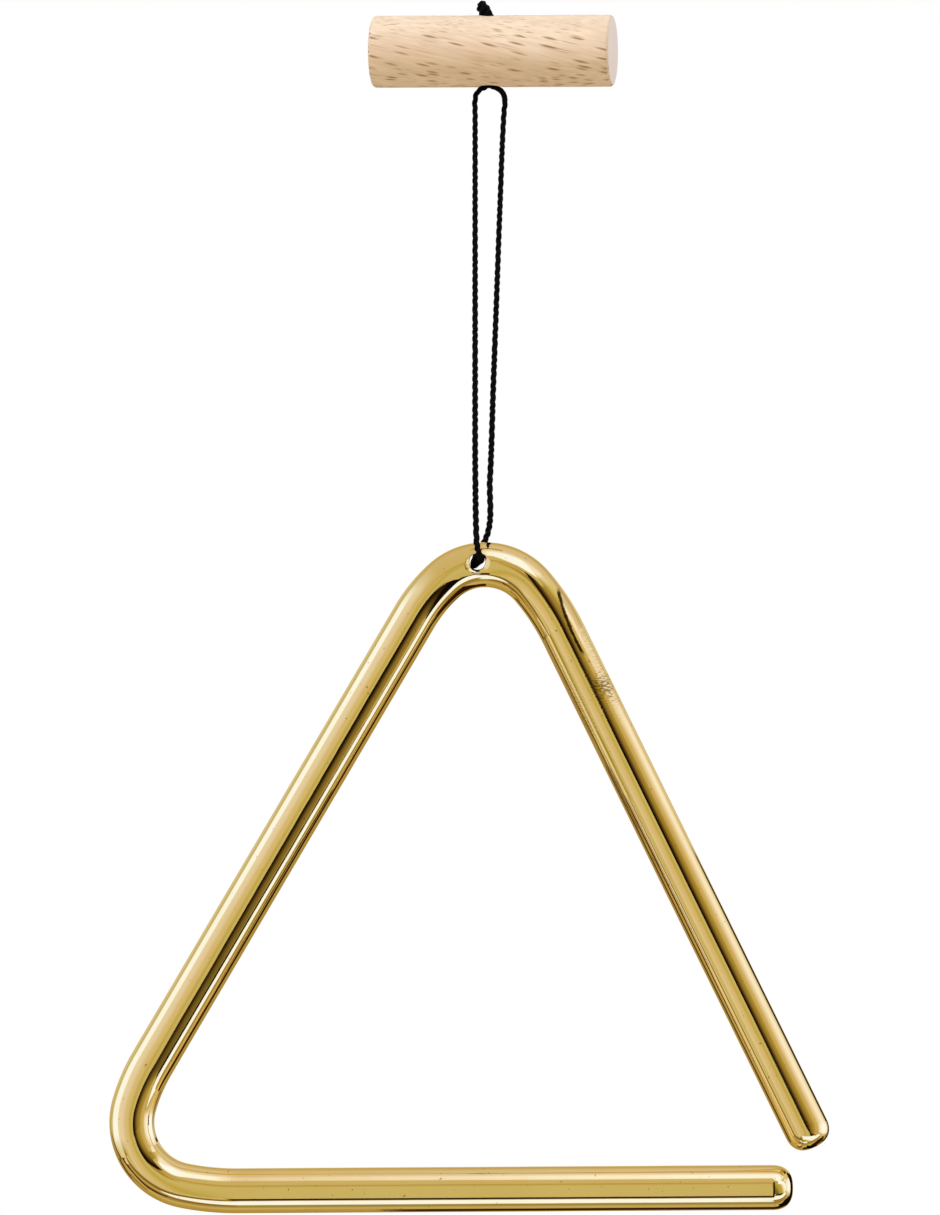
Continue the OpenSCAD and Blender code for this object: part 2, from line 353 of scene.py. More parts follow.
def make_cord_tree():
    tree, given = new_tree("twisted_cord", {
        "Strands": ("NodeSocketInt", STRANDS),
        "Strand radius": ("NodeSocketFloat", STRAND_RADIUS),
        "Strand offset": ("NodeSocketFloat", STRAND_OFFSET),
        "Lay length": ("NodeSocketFloat", LAY_LENGTH),
        "Lay wander": ("NodeSocketFloat", 2.2 * MM),
        "Unevenness": ("NodeSocketFloat", 0.06 * MM),
        "Material": ("NodeSocketMaterial", None),
    })
    level = result(tree, "GeometryNodeSetCurveNormal", {"Curve": given["Geometry"]}, mode="MINIMUM_TWIST")
    run = add_node(tree, "GeometryNodeSplineParameter").outputs["Length"]
    wander = result(tree, "ShaderNodeTexNoise", {"W": run, "Scale": 110, "Detail": 1}, noise_dimensions="1D")
    eased = maths(tree, "MULTIPLY_ADD", wander, given["Lay wander"], run)
    tilt = maths(tree, "MULTIPLY", maths(tree, "DIVIDE", eased, given["Lay length"]), math.tau)
    twisted = result(tree, "GeometryNodeSetCurveTilt", {"Curve": level, "Tilt": tilt})
    marked_run = add_node(tree, "GeometryNodeCaptureAttribute", {"Geometry": twisted})
    marked_run.capture_items.new("FLOAT", "Run")
    tree.links.new(run, marked_run.inputs["Run"])

    sizes = {"Resolution": STRAND_SIDES, "Radius": given["Strand radius"]}
    circle = result(tree, "GeometryNodeCurvePrimitiveCircle", sizes)
    marked_way = add_node(tree, "GeometryNodeCaptureAttribute", {"Geometry": circle})
    marked_way.capture_items.new("VECTOR", "Way")
    tree.links.new(result(tree, "GeometryNodeInputPosition"), marked_way.inputs["Way"])
    sizes = {"Vertices": given["Strands"], "Radius": given["Strand offset"]}
    spots = result(tree, "GeometryNodeMeshCircle", sizes)
    strands = {"Points": spots, "Instance": marked_way.outputs[0]}
    section = result(tree, "GeometryNodeInstanceOnPoints", strands)
    section = result(tree, "GeometryNodeRealizeInstances", {"Geometry": section})

    swept = sweep(tree, marked_run.outputs[0], section)
    way = add_node(tree, "ShaderNodeSeparateXYZ", {0: marked_way.outputs["Way"]}).outputs
    lay = result(tree, "ShaderNodeCombineXYZ", {"X": way["X"], "Y": way["Y"], "Z": marked_run.outputs["Run"]})
    stored = add_node(
        tree, "GeometryNodeStoreNamedAttribute",
        {"Geometry": swept, "Name": "strand_lay"}, data_type="FLOAT_VECTOR", domain="POINT",
    )
    tree.links.new(lay, stored.inputs["Value"])
    worn = make_uneven(tree, stored.outputs[0], noise(tree, 700, 2), given["Unevenness"])
    close_tree(tree, worn, given["Material"])
    return tree


cord_tree = make_cord_tree()
print("tree", cord_tree.name, "has", len(cord_tree.nodes), "nodes")

# %% Twist the cord along its route
CORD_FULLNESS = ([14, 60, 105, 111.5, 112.6], [1, 1.05, 1.13, 1.13, 1.42])
ARCH_FOOT = -15 * MM
ARCH_FADE = 3 * MM
ARCH_LAG = 7

cord_swell = np.interp(-cord_line[:, 2] / MM, *CORD_FULLNESS)
low_from, low_to = np.flatnonzero(cord_line[:, 2] <= ARCH_FOOT)[[0, -1]]
cord_splines = [(cord_line, cord_swell, False)]
for half in (cord_line[:low_from], cord_line[low_to:][::-1][ARCH_LAG:]):
    cord_splines.append((half, np.interp(half[:, 2], [ARCH_FOOT, ARCH_FOOT + ARCH_FADE], [0.7, 1.0]), False))
source = line_object("cord_line", cord_splines)
cord = run_tree("hanging_cord", source, cord_tree, {"Material": cord_finish})
drop(source)
print("cord faces", len(cord.data.polygons))

# %% [markdown]
# ## The stopper knot
# What keeps the cord from pulling out of the handle is a knot that sits in a recess in the top,
# with its two cut ends standing up out of the wood. An overhand knot that has been pulled tight
# is a trefoil: a line that goes twice round an axis while it rises and falls three times. Made
# from that rule and swept by the same tree, it has the strands of the real cord. The cut ends
# lean over to the left.

# %% Tie the knot
KNOT_LOW = 2.9
KNOT_HIGH = 7.3
KNOT_RADIUS = 1.35
KNOT_WAVE = 0.72
KNOT_POINTS = 160
KNOT_FULLNESS = 0.98
TAILS = [
    [(-0.3, 0, 5.2, 2.6), (-0.5, 0, 7, 2.5), (-0.75, 0, 7.84, 2.35), (-1.12, 0, 8.6, 2.3),
     (-1.55, 0, 9.6, 2.35), (-1.95, 0, 10.3, 2.1), (-2.45, 0, 10.85, 1)],
    [(0.9, -0.2, 5.2, 1), (0.6, -0.3, 6.6, 1.2), (0.2, -0.3, 7.8, 1.2), (-0.5, -0.3, 9, 1.1),
     (-1.1, -0.2, 9.9, 0.8)],
]


def trefoil_line(count):
    """A closed overhand knot, as high as the CAD knot less the cord's own thickness."""
    t = np.linspace(0, math.tau, count, endpoint=False)
    out = KNOT_RADIUS + KNOT_WAVE * np.cos(3 * t)
    reach = (KNOT_HIGH - KNOT_LOW) / 2 - CORD_D / MM / 2
    height = (KNOT_HIGH + KNOT_LOW) / 2 + reach * np.sin(3 * t)
    return np.c_[out * np.cos(2 * t), out * np.sin(2 * t), height] * MM


knot_lines = [(trefoil_line(KNOT_POINTS), np.full(KNOT_POINTS, KNOT_FULLNESS), True)]
for tail in TAILS:
    x, y, height, fullness = np.transpose(tail)
    line = smooth_line(np.c_[x, y, height], CORD_STEP) * MM
    knot_lines.append((line, np.interp(line[:, 2] / MM, height, fullness), False))
source = line_object("knot_line", knot_lines)
knot = run_tree("stopper_knot", source, cord_tree, {"Material": cord_finish})
drop(source)
print("knot faces", len(knot.data.polygons))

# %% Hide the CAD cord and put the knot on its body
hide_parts("cord_in_handle", "cord_arch", "cord_loop")
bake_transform(cord)
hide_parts("cord_knot")
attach(knot, "cord_top_body")

# %% [markdown]
# ## The bent rod's line
# The rod is one straight bar of brass, bent twice. A bar that is bent round a former doesn't
# follow a plain arc: it eases into the bend at a wide radius, turns tightly in the middle and
# eases out again. The runs below are the CAD model's, followed like a walk: so far ahead, then
# so many degrees round at such a radius. The two ends close in a low dome.

# %% Follow the rod from end to end
ROD_R = 5.0
RIGHT_RUN = 123.24
BAR_RUN = 119.7
DOME_EASE = 1.1
DOME_H = 4.8
DOME_FULLNESS = 2.4
DOME_BLUNTNESS = 0.38
DOME_RINGS = 43
DOME_CROWDING = 1.15
DOME_TIP = 0.004
DRILLED = (-2.8 + 0.8 * math.sin(math.radians(7)), -113.4 - 0.8 * math.cos(math.radians(7)), 7)
RIGHT_WALK = [(13.7, -56.6), (51, -14.25), (RIGHT_RUN - DOME_EASE, 0)]
LEFT_WALK = [
    (13.7, 35.2), (34, 17.35), (115.2, 0), (40, 14.3), (14.3, 94.7), (59, 11.8), (BAR_RUN - DOME_EASE, 0),
]
ROD_STEP = 0.8
FINE_STEP = 0.3
FINE_REACH = 9


def onward(x, z, way, distance):
    """The point that lies a distance away in a direction, given in degrees."""
    return x + distance * math.cos(math.radians(way)), z + distance * math.sin(math.radians(way))


def walk(start, runs):
    """Points and headings along the runs from a start of (x, z, degrees), closer near the hole."""
    x, z, way = start
    line = [start]
    gone = 0
    for size, turn in runs:
        length = size * math.radians(abs(turn)) if turn else size
        radius = math.copysign(size, turn)
        centre = onward(x, z, way + 90, radius)
        step = FINE_STEP if gone < FINE_REACH else ROD_STEP
        for cut in np.linspace(0, length, math.ceil(length / step) + 1)[1:]:
            if turn:
                out = way + math.degrees(cut / radius)
                line.append((*onward(*centre, out - 90, radius), out))
            else:
                line.append((*onward(x, z, way, cut), way))
        x, z, way = line[-1]
        gone += length
    return line


def dome(end):
    """Points and shares of the rod's radius over a domed end, from its rim to its tip."""
    rounds = []
    for t in np.linspace(0, math.pi / 2, DOME_RINGS + 1)[1:]:
        ahead = math.sin(t) ** DOME_CROWDING
        share = max(max(1 - ahead**DOME_FULLNESS, 0) ** DOME_BLUNTNESS, DOME_TIP)
        rounds.append((*onward(*end, ahead * DOME_H), share))
    return rounds


right = walk(DRILLED, RIGHT_WALK)
left = walk((DRILLED[0], DRILLED[1], DRILLED[2] + 180), LEFT_WALK)
rod_points = [(x, z, 1.0) for x, z, way in right[::-1] + left[1:]]
rod_points = np.array(dome(right[-1])[::-1] + rod_points + dome(left[-1]))
rod_line = np.c_[rod_points[:, 0], np.zeros(len(rod_points)), rod_points[:, 1]] * MM
print("rod", round(length_of(rod_line) * 1000, 1), "mm long,", len(rod_line), "rings")

# %% [markdown]
# ## The drill
# The hole through the rod is drilled, countersunk on both sides and then polished with the rest,
# so its lip is soft. The cutter is a turned shape: a straight shank that flares out like a
# trumpet at both ends. A profile spun about the drill's axis gives it, and the rod's tree then
# takes it away from the rod.

# %% Turn the drill
HOLE_PLACE = Vector((-2.8 * MM, 0, -113.4 * MM))
FLARE = [
    (1.8, 4.14), (1.84, 4.24), (1.95, 4.35), (2.15, 4.5), (2.42, 4.68), (2.7, 4.86), (3.0, 5.02), (3.5, 5.22),
    (4.2, 5.4), (4.2, 7), (0, 7),
]
DRILL_SIDES = 96


def lathe(name, profile, sides, about=None):
    """Spin a profile of (radius, height) pairs, closed at the axis, into a solid mesh object,
    and turn it by 90 degrees about X or Y where asked."""
    shape = bmesh.new()
    rings = []
    for radius, height in profile:
        turns = [math.tau * k / sides for k in range(sides if radius else 1)]
        rings.append([
            shape.verts.new((radius * MM * math.cos(t), radius * MM * math.sin(t), height * MM)) for t in turns
        ])
    for low, high in zip(rings[:-1], rings[1:]):
        for k in range(sides):
            n = (k + 1) % sides
            corners = [low[k % len(low)], low[n % len(low)], high[n % len(high)], high[k % len(high)]]
            shape.faces.new(list(dict.fromkeys(corners)))
    bmesh.ops.recalc_face_normals(shape, faces=shape.faces)
    if about:
        bmesh.ops.transform(shape, matrix=Matrix.Rotation(math.pi / 2, 4, about), verts=shape.verts)
    mesh = bpy.data.meshes.new(name)
    shape.to_mesh(mesh)
    shape.free()
    return add_object(name, mesh)


drill_profile = [(radius, -height) for radius, height in reversed(FLARE)] + FLARE
drill = lathe("drill", drill_profile, DRILL_SIDES, "X")
drill.data.transform(Matrix.Translation(HOLE_PLACE))
print("drill faces", len(drill.data.polygons))

# %% [markdown]
# ## The brass
# Polished brass has hardly a colour of its own: it shows the room, tinted gold. So most of this
# finish is small departures from a mirror. The rod was bent by hand, and its face isn't quite
# true, which makes the long reflections waver. Handling leaves faint smears that blur them, and
# tiny pits show as dark specks. The bending tool left a patch of fine scratches on the right
# shoulder. Above the patch a dark line is drawn into the colour, whose path is a parabola. Brass
# seen edge on would go white, so a tint keeps the rims gold. All of it is read from Object
# coordinates.


# %% Define the colour helpers
def mapped(tree, vector, **sockets):
    """Coordinates that a Mapping node has turned or scaled."""
    return result(tree, "ShaderNodeMapping", {"Vector": vector, **sockets})


def spread(tree, value, low, high, first=0, last=1):
    """Carry a value from between low and high to between first and last."""
    sockets = {"Value": value, "From Min": low, "From Max": high, "To Min": first, "To Max": last}
    return result(tree, "ShaderNodeMapRange", sockets)


def mix_in(tree, share, below, above, blend="MIX"):
    """Lay one colour over another by a share."""
    sockets = {"Factor": share, 6: below, 7: above}
    return add_node(tree, "ShaderNodeMix", sockets, data_type="RGBA", blend_type=blend).outputs[2]


print("colour helpers ready")

# %% Make the brass
BRASS = (0.89, 0.72, 0.35)
BRASS_DULL = (0.87, 0.69, 0.32)
BRASS_EDGE = (0.93, 0.77, 0.36)
PIT_TONE = (0.45, 0.38, 0.28)
FLECK_TONE = (0.2, 0.12, 0.03)
TOOL_MARK_PLACE = (25.3 * MM, -3.6 * MM, -141 * MM)
TOOL_MARK_REACH = 13 * MM
TOOL_MARK_SLANT = math.radians(-24)
# A dark line drawn into the colour on the front of the right shoulder: where it starts, how far it drops, how
# it leans and bows, and how ragged it is.
DARK_LINE_TOP = (15.0 * MM, -119.1 * MM)
DARK_LINE_DROP = 15.3 * MM
DARK_LINE_LEAN = 0.2051
DARK_LINE_BOW = 0.01203 / MM
DARK_LINE_RAG = 0.5 * MM
DARK_LINE_TONE = (0.05, 0.03, 0.01)


def make_brass():
    finish, tree, inputs = new_finish("polished_brass", {"Metallic": 1, "Specular Tint": (*BRASS_EDGE, 1)})
    place = object_place(tree)
    tone = ramp(tree, [(0.3, BRASS_DULL), (0.7, BRASS)], noise(tree, 90, 3, Vector=place))
    pits = noise(tree, 1300, 1, Vector=place, Roughness=0.4)
    tone = mix_in(tree, 1.0, tone, ramp(tree, [(0.755, (1, 1, 1)), (0.785, PIT_TONE)], pits), "MULTIPLY")

    parts = add_node(tree, "ShaderNodeSeparateXYZ", {0: place}).outputs
    # The dark line above the scratches, drawn on the front only.
    drop_so_far = maths(tree, "SUBTRACT", DARK_LINE_TOP[1], parts["Z"])
    lean = maths(tree, "MULTIPLY_ADD", drop_so_far, DARK_LINE_BOW, DARK_LINE_LEAN)
    path = maths(tree, "MULTIPLY_ADD", lean, drop_so_far, DARK_LINE_TOP[0] - DARK_LINE_RAG / 2)
    path = maths(tree, "MULTIPLY_ADD", noise(tree, 1500, 2, Vector=place), DARK_LINE_RAG, path)
    beside = maths(tree, "ABSOLUTE", maths(tree, "SUBTRACT", path, parts["X"]))
    thin = spread(tree, beside, 0.26 * MM, 0.48 * MM, 1, 0)
    from_middle = maths(tree, "ABSOLUTE", maths(tree, "SUBTRACT", drop_so_far, DARK_LINE_DROP / 2))
    within = spread(tree, from_middle, DARK_LINE_DROP * 0.42, DARK_LINE_DROP / 2, 1, 0)
    in_front = maths(tree, "LESS_THAN", parts["Y"], 0)
    dark_line = maths(tree, "MULTIPLY", maths(tree, "MULTIPLY", thin, within), in_front)
    tone = mix_in(tree, dark_line, tone, (*DARK_LINE_TONE, 1))

    away = add_node(tree, "ShaderNodeVectorMath", {0: place, 1: TOOL_MARK_PLACE}, operation="DISTANCE")
    near = spread(tree, away.outputs["Value"], 0, TOOL_MARK_REACH, 1, 0)
    slanted = mapped(tree, place, Rotation=(0, TOOL_MARK_SLANT, 0), Scale=(900, 900, 3200))
    cut = maths(tree, "MULTIPLY", noise(tree, 1, 3, Vector=slanted), near)
    tone = mix_in(tree, spread(tree, cut, 0.42, 0.5, 0, 0.8), tone, (*FLECK_TONE, 1))
    tree.links.new(tone, inputs["Base Color"])

    smear = noise(tree, 55, 5, Vector=place, Roughness=0.65)
    tree.links.new(spread(tree, smear, 0.35, 0.75, 0.03, 0.07), inputs["Roughness"])
    soft = bump(tree, noise(tree, 160, 1, Vector=place), 0.25, 0.05 * MM)
    fine = bump(tree, noise(tree, 2600, 2, Vector=place), 0.05, 0.004 * MM, Normal=soft)
    tree.links.new(bump(tree, cut, 1.0, 0.03 * MM, Normal=fine), inputs["Normal"])
    return finish


brass = make_brass()
print("made", brass.name)

# %% Sweep and drill the rod
ROD_SIDES = 112


def make_rod_tree():
    tree, given = new_tree("bent_rod", {
        "Rod radius": ("NodeSocketFloat", ROD_R * MM),
        "Unevenness": ("NodeSocketFloat", 0.05 * MM),
        "Drill": ("NodeSocketObject", None),
        "Material": ("NodeSocketMaterial", None),
    })
    sizes = {"Resolution": ROD_SIDES, "Radius": given["Rod radius"]}
    section = result(tree, "GeometryNodeCurvePrimitiveCircle", sizes)
    level = result(tree, "GeometryNodeSetCurveNormal", {"Curve": given["Geometry"]}, mode="MINIMUM_TWIST")
    swept = sweep(tree, level, section)
    worn = make_uneven(tree, swept, noise(tree, 55, 1), given["Unevenness"])
    tool = add_node(tree, "GeometryNodeObjectInfo", {"Object": given["Drill"]}, transform_space="RELATIVE")
    drilled = add_node(
        tree, "GeometryNodeMeshBoolean", {"Mesh 1": worn, "Mesh 2": tool.outputs["Geometry"]},
        operation="DIFFERENCE", solver="EXACT",
    )
    close_tree(tree, drilled.outputs["Mesh"], given["Material"])
    return tree


source = line_object("rod_line", [(rod_line, rod_points[:, 2], False)])
rod = run_tree("brass_rod", source, make_rod_tree(), {"Drill": drill, "Material": brass})
drop(source)
drop(drill)
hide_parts("triangle_rod")
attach(rod, "triangle_body")
print("rod faces", len(rod.data.polygons))

# %% [markdown]
# ## The wooden handle
# The handle is a piece of plain dowel: sawn off, its edges rounded with sandpaper and left
# without varnish. Pale, open-grained wood such as ramin shows as short brown pores that lie
# along the grain, and the grain rarely runs true to the dowel, so here they slant down to the
# right. The finish bends all its patterns into the dowel's own direction with Mapping nodes.

# %% Make the wood
HANDLE_YAW = math.radians(-9)
HANDLE_LENGTH = 54.0
HANDLE_SHIFT = 0.7
HANDLE_R = 8.0
GRAIN_SLANT = math.radians(14)
END_RIM = 0.15
# Tones up the dowel, in millimetres from its axis: the lower ones are darker as painted shade on the
# underside, the top one is the wood's own pale tone.
WOOD_TONES_SHADED_BELOW = [
    (-8, (0.71, 0.49, 0.275)), (-2.5, (0.73, 0.515, 0.305)), (0.5, (0.755, 0.55, 0.38)),
    (4, (0.81, 0.625, 0.46)), (8, (0.79, 0.64, 0.495)),
]
# The sawn end's own tone, painted paler to stand in for the light on the end face.
WOOD_END_WITH_LIGHT = (0.95, 0.8, 0.68)
WOOD_PORE = (0.30, 0.135, 0.02)
WOOD_LINE = (0.5, 0.3, 0.14)
TONE_DRIFT = 5 * MM
LINE_SIZE = (14 * MM, 0.45 * MM, 0.45 * MM)
PORE_SIZE = (6.5 * MM, 0.85 * MM, 0.85 * MM)


def pores(tree, place, height, size, low_share, high_share):
    """Long cells of the wood, of which a share that changes with height hold a pore."""
    drawn = mapped(tree, place, Scale=tuple(1 / side for side in size))
    cells = add_node(tree, "ShaderNodeTexVoronoi", {"Vector": drawn, "Scale": 1, "Randomness": 1}).outputs
    pick = result(tree, "ShaderNodeSeparateColor", {0: cells["Color"]})
    share = spread(tree, height, -HANDLE_R * MM, HANDLE_R * MM, low_share, high_share)
    core = spread(tree, cells["Distance"], 0.14, 0.42, 1, 0)
    return maths(tree, "MULTIPLY", core, maths(tree, "LESS_THAN", pick, share))


def make_wood():
    finish, tree, inputs = new_finish("dry_dowel_wood", {"Specular IOR Level": 0.3, "Roughness": 0.6})
    level = mapped(tree, object_place(tree), Rotation=(0, 0, -HANDLE_YAW))
    slant = mapped(tree, level, Rotation=(0, -GRAIN_SLANT, 0))
    parts = add_node(tree, "ShaderNodeSeparateXYZ", {0: level}).outputs

    height = maths(tree, "MULTIPLY_ADD", noise(tree, 120, 1, Vector=slant), TONE_DRIFT, parts["Z"])
    height = maths(tree, "SUBTRACT", height, TONE_DRIFT / 2)
    low, high = WOOD_TONES_SHADED_BELOW[0][0], WOOD_TONES_SHADED_BELOW[-1][0]
    stops = [((spot - low) / (high - low), tone) for spot, tone in WOOD_TONES_SHADED_BELOW]
    # Painted shade: the ground tone darkens towards the underside of the dowel.
    ground = ramp(tree, stops, spread(tree, height, low * MM, high * MM))
    bands = noise(tree, 1, 3, Vector=mapped(tree, slant, Scale=(18, 160, 160)), Distortion=0.4)
    band_tone = ramp(tree, [(0.3, (0.95, 0.92, 0.9)), (0.7, (1.03, 1.04, 1.04))], bands)
    fibres = noise(tree, 1, 2, Vector=mapped(tree, slant, Scale=(60, 1500, 1500)))
    fibre_tone = ramp(tree, [(0.25, (0.88, 0.85, 0.8)), (0.75, (1.06, 1.06, 1.06))], fibres)
    tone = mix_in(tree, 1.0, mix_in(tree, 1.0, ground, band_tone, "MULTIPLY"), fibre_tone, "MULTIPLY")

    lines = pores(tree, slant, height, LINE_SIZE, 0.12, 0.6)
    tone = mix_in(tree, maths(tree, "MULTIPLY", lines, 0.75), tone, (*WOOD_LINE, 1))
    streaks = pores(tree, slant, height, PORE_SIZE, 0.72, -0.05)
    tone = mix_in(tree, maths(tree, "MULTIPLY", streaks, 0.85), tone, (*WOOD_PORE, 1))
    # Past the rim the sawn end is painted paler: painted light on the end face over its own tone.
    rim = (HANDLE_LENGTH / 2 + HANDLE_SHIFT - END_RIM) * MM
    past = spread(tree, parts["X"], rim, rim + END_RIM * MM, 0, 0.85)
    tree.links.new(mix_in(tree, past, tone, (*WOOD_END_WITH_LIGHT, 1)), inputs["Base Color"])

    depth = maths(tree, "MULTIPLY_ADD", streaks, -1.2, fibres)
    tree.links.new(bump(tree, depth, 0.35, 0.05 * MM), inputs["Normal"])
    return finish


wood = make_wood()
print("made", wood.name)

# %% Turn and bore the handle
EDGE_ROUND = 0.9
EDGE_STEPS = 9
HANDLE_RINGS = 60
HANDLE_SIDES = 120
BORER_SIDES = 72
BORER_PROFILE = [
    (0, -9.0), (3.9, -9.0), (2.9, -8.0), (2.72, -7.76), (2.16, -7.24), (2.1, -7.1), (2.1, 2.8),
    (3.2, 2.8), (3.2, 6.9), (2.3, 7.5), (2.0, 7.7), (2.0, 9.5), (0, 9.5),
]


def handle_profile():
    half = HANDLE_LENGTH / 2
    inner = HANDLE_R - EDGE_ROUND
    face = [(share * inner, -half) for share in (0, 0.2, 0.4, 0.6, 0.8)]
    face += [
        (inner + EDGE_ROUND * math.sin(t), -half + EDGE_ROUND * (1 - math.cos(t)))
        for t in np.linspace(0, math.pi / 2, EDGE_STEPS)
    ]
    step = (HANDLE_LENGTH - 2 * EDGE_ROUND) / HANDLE_RINGS
    sides = [(HANDLE_R, -half + EDGE_ROUND + k * step) for k in range(1, HANDLE_RINGS)]
    return face + sides + [(radius, -height) for radius, height in reversed(face)]


handle = lathe("dowel_handle", handle_profile(), HANDLE_SIDES, "Y")
turn = Matrix.Rotation(HANDLE_YAW, 4, "Z") @ Matrix.Translation((HANDLE_SHIFT * MM, 0, 0))
handle.data.transform(turn)
borer = lathe("borer", BORER_PROFILE, BORER_SIDES)
cut = handle.modifiers.new("bore", "BOOLEAN")
cut.object = borer
cut.operation = "DIFFERENCE"
cut.solver = "EXACT"
bpy.context.view_layer.update()
bored = bpy.data.meshes.new_from_object(handle.evaluated_get(bpy.context.evaluated_depsgraph_get()))
handle.modifiers.clear()
handle.data = bored
bored.name = "dowel_handle"
drop(borer)
bored.materials.clear()
bored.materials.append(wood)
bored.shade_smooth()
bored.set_sharp_from_angle(angle=math.radians(35))
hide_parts("wood_handle")
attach(handle, "handle_body")
print("handle faces", len(handle.data.polygons))

# %% [markdown]
# ## The room that the brass reflects
# A mirror-like rod shows nothing but its surroundings, so its long bands of light and dark are
# the room. Across a round rod the reflection turns twice as fast as the surface, and each band
# is one thing standing around the set: a warm reflector in front and to the left, a dark gap to
# the right of the lens that brightens further round, a window high on the right, white light
# from the left, and a white strip on the table below. Each is a card here, which glows with the
# colour that the brass should show, divided by the brass's own colour. Only reflections can see
# it. Nearly all cards stand well away, so that the bands run straight along each leg. Five small
# ones stand close to the rod's open end, for the marks on its two domes.

# %% Define a card
ROOM = 3.0
ROOM_CENTRE = Vector((-4 * MM, 0, -180 * MM))
WALLS = {
    "front": lambda a, b: (a, -1, b), "back": lambda a, b: (a, 1, b), "left": lambda a, b: (-1, -a, b),
    "right": lambda a, b: (1, -a, b), "top": lambda a, b: (a, -b, 1), "table": lambda a, b: (a, -b, -1),
}
UP = (0, 1)


def to_linear(level):
    share = level / 255
    return share / 12.92 if share <= 0.04045 else ((share + 0.055) / 1.055) ** 2.4


def glow(seen):
    """The light that brass shows as the colour seen, given as 0 to 255 levels."""
    return tuple(to_linear(level) / own for level, own in zip(seen, BRASS))


def graded(tree, place, slope, stops):
    """A ramp of (place, colour) stops along a slope of the card."""
    low, high = stops[0][0], stops[-1][0]
    along = add_node(tree, "ShaderNodeVectorMath", {0: place, 1: (*slope, 0)}, operation="DOT_PRODUCT")
    stops = [((spot - low) / (high - low), colour) for spot, colour in stops]
    return ramp(tree, stops, spread(tree, along.outputs["Value"], low, high))


def card(name, wall, corners, stops, slope=(1, 0), depth=1.0, fade=None, fade_slope=(1, 0)):
    """A glowing card on one wall. Its corners are in units of the wall's own distance: how far
    to the right (on a side wall: to the front) and how far up (on the table and ceiling: to the
    front). Its stops are (place, red, green, blue), or one colour for all of it, and its fade is
    (place, how solid). Both run along slopes."""
    mesh = bpy.data.meshes.new(name)
    points = [ROOM_CENTRE + Vector(WALLS[wall](a, b)) * ROOM * depth for a, b in corners]
    mesh.from_pydata(points, [], [tuple(range(len(points)))])
    layer = mesh.uv_layers.new(name="place")
    for loop, corner in zip(layer.data, corners):
        loop.uv = corner
    finish, tree, _ = new_finish(name, {})
    tree.nodes.clear()
    place = result(tree, "ShaderNodeUVMap", uv_map="place")
    if isinstance(stops, tuple):
        stops = [(0, *stops), (1, *stops)]
    glows = [(spot, glow(seen)) for spot, *seen in stops]
    peak = max(max(light) for spot, light in glows)
    colour = graded(tree, place, slope, [(spot, tuple(v / peak for v in light)) for spot, light in glows])
    surface = result(tree, "ShaderNodeEmission", {"Color": colour, "Strength": peak})
    if fade:
        solid = graded(tree, place, fade_slope, [(spot, (share,) * 3) for spot, share in fade])
        clear = result(tree, "ShaderNodeBsdfTransparent")
        surface = result(tree, "ShaderNodeMixShader", {0: solid, 1: clear, 2: surface})
    add_node(tree, "ShaderNodeOutputMaterial", {"Surface": surface})
    mesh.materials.append(finish)
    thing = add_object(name, mesh)
    for kind in ("camera", "diffuse", "transmission", "volume_scatter", "shadow"):
        setattr(thing, "visible_" + kind, False)


def toned(places, tones):
    return [(spot, *tone) for spot, tone in zip(places, tones)]


def sheet(a0, a1, b0, b1):
    """The corners of a rectangle."""
    return [(a0, b0), (a1, b0), (a1, b1), (a0, b1)]


print("a card's brass glow for mid gold is", [round(v, 2) for v in glow((200, 170, 90))])

# %% Set the cards in front
SHADE_TONES = [
    (14, 4, 0), (22, 9, 0), (54, 35, 12), (96, 70, 21), (139, 110, 41), (167, 131, 43), (179, 144, 53),
    (193, 159, 71), (204, 172, 93), (216, 186, 116), (229, 199, 140),
]

card("front_reflector", "front",
    [(-4, -1.05), (0.75, -1.05), (0.55, -0.86), (0.42, -0.74), (0.37, -0.6), (0.3, -0.42), (0.24, -0.27),
     (0.175, -0.17), (0.09, -0.075), (0.047, -0.027), (0.055, -0.026), (0.098, -0.02), (0.065, 0.05),
     (0.05, 0.4), (0.05, 1.05), (-4, 1.05)],
    [(-4, 216, 190, 146), (-2.4, 224, 198, 154), (-1.15, 232, 205, 155), (-0.72, 218, 189, 124),
     (-0.35, 212, 182, 107), (-0.2, 198, 168, 78), (-0.12, 192, 163, 68), (-0.03, 203, 178, 98),
     (0.25, 200, 172, 92)])
card("olive_valance", "front",
    [(-0.7, 0.3), (0.24, 0.3), (0.33, 0.5), (0.25, 0.72), (0.14, 1.05), (-0.7, 1.05)],
    [(0.3, 200, 171, 90), (0.47, 184, 148, 62), (0.66, 148, 113, 26), (0.82, 146, 111, 26),
     (0.95, 165, 134, 56), (1.05, 175, 144, 70)], slope=UP, depth=0.98, fade=[(-0.7, 0), (-0.1, 1)])
card("shade_by_the_lens", "front",
    [(0, 0), (5, 0), (5, 2.9), (1.05, 0.72), (0.75, 0.56), (0.5, 0.49), (0.37, 0.5), (0.32, 0.56),
     (0.29, 0.5), (0.25, 0.34), (0.18, 0.18), (0.1, 0.06), (0, 0.012)],
    toned([0, 0.156, 0.21, 0.29, 0.39, 0.585, 0.75, 1, 1.37, 2.03, 3.9], SHADE_TONES),
    slope=(1, -0.45), depth=1.03)
card("shade_under_the_lens", "front", sheet(0, 5, -1.1, 0.001),
    toned([0, 0.16, 0.23, 0.34, 0.47, 0.72, 0.96, 1.28, 1.76, 2.6, 5], SHADE_TONES), depth=1.035)
